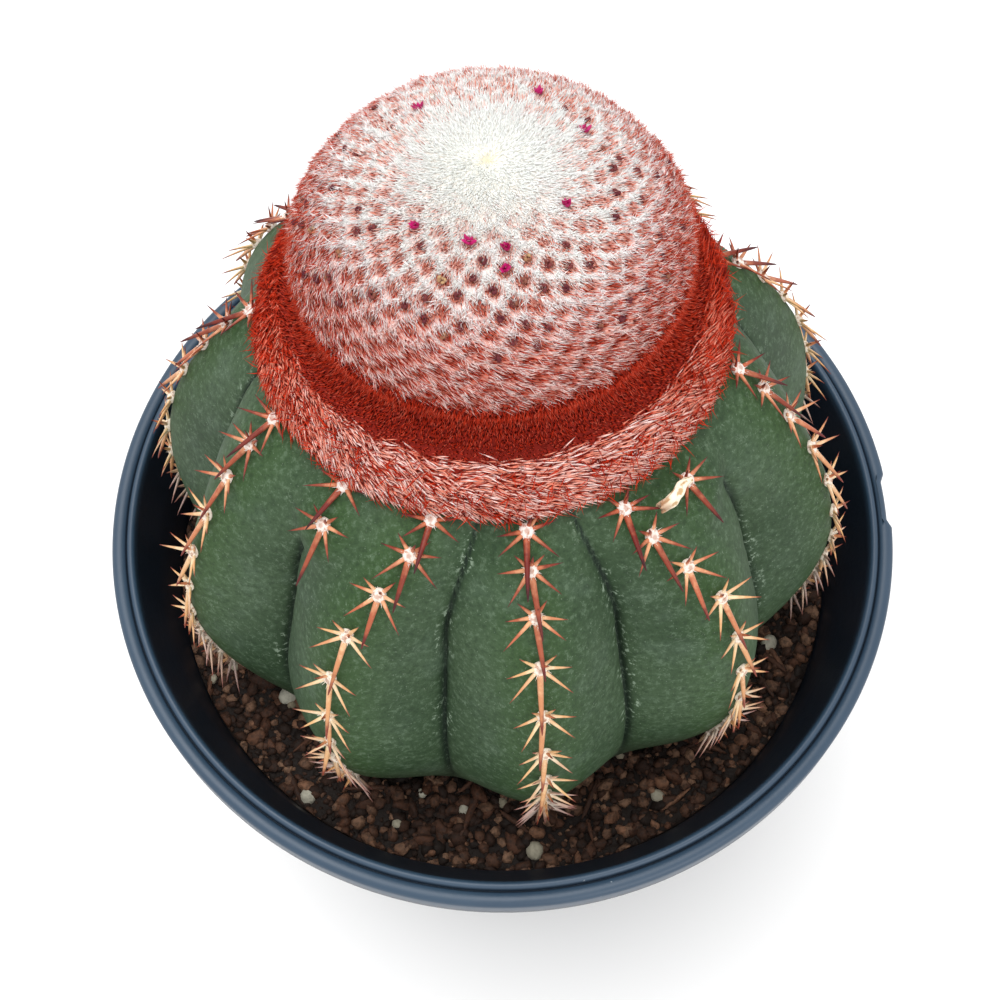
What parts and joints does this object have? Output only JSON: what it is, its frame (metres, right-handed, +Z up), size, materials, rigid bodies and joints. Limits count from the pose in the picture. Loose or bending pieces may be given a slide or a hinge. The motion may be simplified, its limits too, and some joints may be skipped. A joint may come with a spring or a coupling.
{
  "type": "potted turk's cap cactus",
  "caption": "Ribbed globe cactus with a woolly, bristly cap on top and spine clusters down each rib, growing in a round plastic nursery pot of bark mix.",
  "frame": {"origin": "middle of the pot's flat underside, on the surface that it stands on", "axes": "+Z up, along the pot's axis; -Y is the front, and the plant leans slightly towards +Y"},
  "size_m": [0.1546, 0.155, 0.2125],
  "materials": {
    "black nursery plastic": "dark slate, satin moulded plastic",
    "potting mix": "dark granular bark and peat",
    "green skin": "matte waxy plant skin",
    "cap wool and bristles": "dense wool and stiff bristles",
    "spines": "horny, satin"
  },
  "bodies": {
    "root": {"pot": "black nursery plastic", "potting_mix": "potting mix", "stem": "green skin", "cephalium": "cap wool and bristles", "spine_cluster_rib01_1": "spines", "spine_cluster_rib01_2": "spines", "spine_cluster_rib01_3": "spines", "spine_cluster_rib01_4": "spines", "spine_cluster_rib01_5": "spines", "spine_cluster_rib02_1": "spines", "spine_cluster_rib02_2": "spines", "spine_cluster_rib02_3": "spines", "spine_cluster_rib02_4": "spines", "spine_cluster_rib02_5": "spines", "spine_cluster_rib03_1": "spines", "spine_cluster_rib03_2": "spines", "spine_cluster_rib03_3": "spines", "spine_cluster_rib03_4": "spines", "spine_cluster_rib03_5": "spines", "spine_cluster_rib04_1": "spines", "spine_cluster_rib04_2": "spines", "spine_cluster_rib04_3": "spines", "spine_cluster_rib04_4": "spines", "spine_cluster_rib04_5": "spines", "spine_cluster_rib05_1": "spines", "spine_cluster_rib05_2": "spines", "spine_cluster_rib05_3": "spines", "spine_cluster_rib05_4": "spines", "spine_cluster_rib05_5": "spines", "spine_cluster_rib06_1": "spines", "spine_cluster_rib06_2": "spines", "spine_cluster_rib06_3": "spines", "spine_cluster_rib06_4": "spines", "spine_cluster_rib06_5": "spines", "spine_cluster_rib07_1": "spines", "spine_cluster_rib07_2": "spines", "spine_cluster_rib07_3": "spines", "spine_cluster_rib07_4": "spines", "spine_cluster_rib07_5": "spines", "spine_cluster_rib08_1": "spines", "spine_cluster_rib08_2": "spines", "spine_cluster_rib08_3": "spines", "spine_cluster_rib08_4": "spines", "spine_cluster_rib08_5": "spines", "spine_cluster_rib09_1": "spines", "spine_cluster_rib09_2": "spines", "spine_cluster_rib09_3": "spines", "spine_cluster_rib09_4": "spines", "spine_cluster_rib09_5": "spines", "spine_cluster_rib10_1": "spines", "spine_cluster_rib10_2": "spines", "spine_cluster_rib10_3": "spines", "spine_cluster_rib10_4": "spines", "spine_cluster_rib10_5": "spines", "spine_cluster_rib11_1": "spines", "spine_cluster_rib11_2": "spines", "spine_cluster_rib11_3": "spines", "spine_cluster_rib11_4": "spines", "spine_cluster_rib11_5": "spines"}
  },
  "joints": []
}
